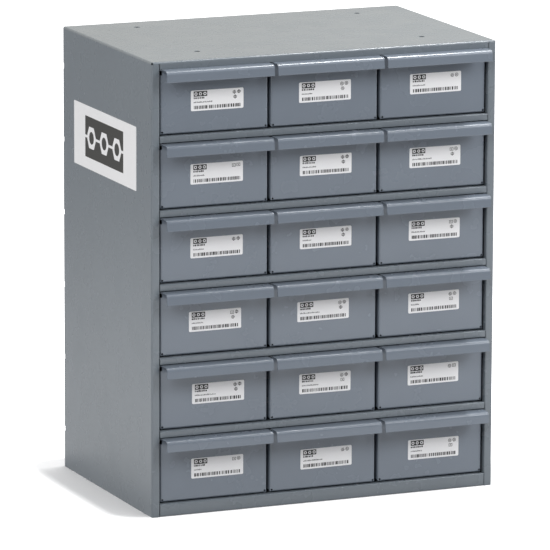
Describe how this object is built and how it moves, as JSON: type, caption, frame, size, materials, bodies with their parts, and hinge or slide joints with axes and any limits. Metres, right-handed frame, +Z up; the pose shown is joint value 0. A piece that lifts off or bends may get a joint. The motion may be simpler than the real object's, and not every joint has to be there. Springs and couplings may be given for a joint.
{
  "type": "parts bin cabinet",
  "caption": "Folded sheet-steel small-parts cabinet: a wrap-round case with shelves and dividers, filled with pull-out bins that have full-width folded pulls and labels.",
  "frame": {"origin": "under the middle of the whole cabinet, drawer pulls included, on the surface it stands on", "axes": "+X to the right seen from the front, +Y to the back, +Z up; the drawers open towards -Y"},
  "size_m": [0.4383, 0.3034, 0.5397],
  "materials": {
    "case_paint": "semi-gloss grey enamel on sheet steel",
    "drawer_paint": "semi-gloss blue-grey enamel on sheet steel",
    "label_paper": "white sticker, satin",
    "decal_vinyl": "white vinyl decal with a dark panel"
  },
  "bodies": {
    "cabinet": {"case_wrapper": "case_paint", "floor_pan": "case_paint", "back_panel": "case_paint", "shelf_1": "case_paint", "shelf_2": "case_paint", "shelf_3": "case_paint", "shelf_4": "case_paint", "shelf_5": "case_paint", "dividers_1": "case_paint", "dividers_2": "case_paint", "guides_left": "case_paint", "guides_right": "case_paint", "top_stop_clips": "case_paint", "side_decal": "decal_vinyl"},
    "bin_r1c1": {"drawer_r1c1": "drawer_paint", "label_r1c1": "label_paper"},
    "bin_r1c2": {"drawer_r1c2": "drawer_paint", "label_r1c2": "label_paper"},
    "bin_r1c3": {"drawer_r1c3": "drawer_paint", "label_r1c3": "label_paper"},
    "bin_r2c1": {"drawer_r2c1": "drawer_paint", "label_r2c1": "label_paper"},
    "bin_r2c2": {"drawer_r2c2": "drawer_paint", "label_r2c2": "label_paper"},
    "bin_r2c3": {"drawer_r2c3": "drawer_paint", "label_r2c3": "label_paper"},
    "bin_r3c1": {"drawer_r3c1": "drawer_paint", "label_r3c1": "label_paper"},
    "bin_r3c2": {"drawer_r3c2": "drawer_paint", "label_r3c2": "label_paper"},
    "bin_r3c3": {"drawer_r3c3": "drawer_paint", "label_r3c3": "label_paper"},
    "bin_r4c1": {"drawer_r4c1": "drawer_paint", "label_r4c1": "label_paper"},
    "bin_r4c2": {"drawer_r4c2": "drawer_paint", "label_r4c2": "label_paper"},
    "bin_r4c3": {"drawer_r4c3": "drawer_paint", "label_r4c3": "label_paper"},
    "bin_r5c1": {"drawer_r5c1": "drawer_paint", "label_r5c1": "label_paper"},
    "bin_r5c2": {"drawer_r5c2": "drawer_paint", "label_r5c2": "label_paper"},
    "bin_r5c3": {"drawer_r5c3": "drawer_paint", "label_r5c3": "label_paper"},
    "bin_r6c1": {"drawer_r6c1": "drawer_paint", "label_r6c1": "label_paper"},
    "bin_r6c2": {"drawer_r6c2": "drawer_paint", "label_r6c2": "label_paper"},
    "bin_r6c3": {"drawer_r6c3": "drawer_paint", "label_r6c3": "label_paper"}
  },
  "joints": [
    {"name": "slide_r1c1", "type": "slide", "parent": "cabinet", "child": "bin_r1c1", "axis": [0, -1, 0], "range_m": [0, 0.2437]},
    {"name": "slide_r1c2", "type": "slide", "parent": "cabinet", "child": "bin_r1c2", "axis": [0, -1, 0], "range_m": [0, 0.2437]},
    {"name": "slide_r1c3", "type": "slide", "parent": "cabinet", "child": "bin_r1c3", "axis": [0, -1, 0], "range_m": [0, 0.2437]},
    {"name": "slide_r2c1", "type": "slide", "parent": "cabinet", "child": "bin_r2c1", "axis": [0, -1, 0], "range_m": [0, 0.2437]},
    {"name": "slide_r2c2", "type": "slide", "parent": "cabinet", "child": "bin_r2c2", "axis": [0, -1, 0], "range_m": [0, 0.2437]},
    {"name": "slide_r2c3", "type": "slide", "parent": "cabinet", "child": "bin_r2c3", "axis": [0, -1, 0], "range_m": [0, 0.2437]},
    {"name": "slide_r3c1", "type": "slide", "parent": "cabinet", "child": "bin_r3c1", "axis": [0, -1, 0], "range_m": [0, 0.2437]},
    {"name": "slide_r3c2", "type": "slide", "parent": "cabinet", "child": "bin_r3c2", "axis": [0, -1, 0], "range_m": [0, 0.2437]},
    {"name": "slide_r3c3", "type": "slide", "parent": "cabinet", "child": "bin_r3c3", "axis": [0, -1, 0], "range_m": [0, 0.2437]},
    {"name": "slide_r4c1", "type": "slide", "parent": "cabinet", "child": "bin_r4c1", "axis": [0, -1, 0], "range_m": [0, 0.2437]},
    {"name": "slide_r4c2", "type": "slide", "parent": "cabinet", "child": "bin_r4c2", "axis": [0, -1, 0], "range_m": [0, 0.2437]},
    {"name": "slide_r4c3", "type": "slide", "parent": "cabinet", "child": "bin_r4c3", "axis": [0, -1, 0], "range_m": [0, 0.2437]},
    {"name": "slide_r5c1", "type": "slide", "parent": "cabinet", "child": "bin_r5c1", "axis": [0, -1, 0], "range_m": [0, 0.2437]},
    {"name": "slide_r5c2", "type": "slide", "parent": "cabinet", "child": "bin_r5c2", "axis": [0, -1, 0], "range_m": [0, 0.2437]},
    {"name": "slide_r5c3", "type": "slide", "parent": "cabinet", "child": "bin_r5c3", "axis": [0, -1, 0], "range_m": [0, 0.2437]},
    {"name": "slide_r6c1", "type": "slide", "parent": "cabinet", "child": "bin_r6c1", "axis": [0, -1, 0], "range_m": [0, 0.2437]},
    {"name": "slide_r6c2", "type": "slide", "parent": "cabinet", "child": "bin_r6c2", "axis": [0, -1, 0], "range_m": [0, 0.2437]},
    {"name": "slide_r6c3", "type": "slide", "parent": "cabinet", "child": "bin_r6c3", "axis": [0, -1, 0], "range_m": [0, 0.2437]}
  ]
}
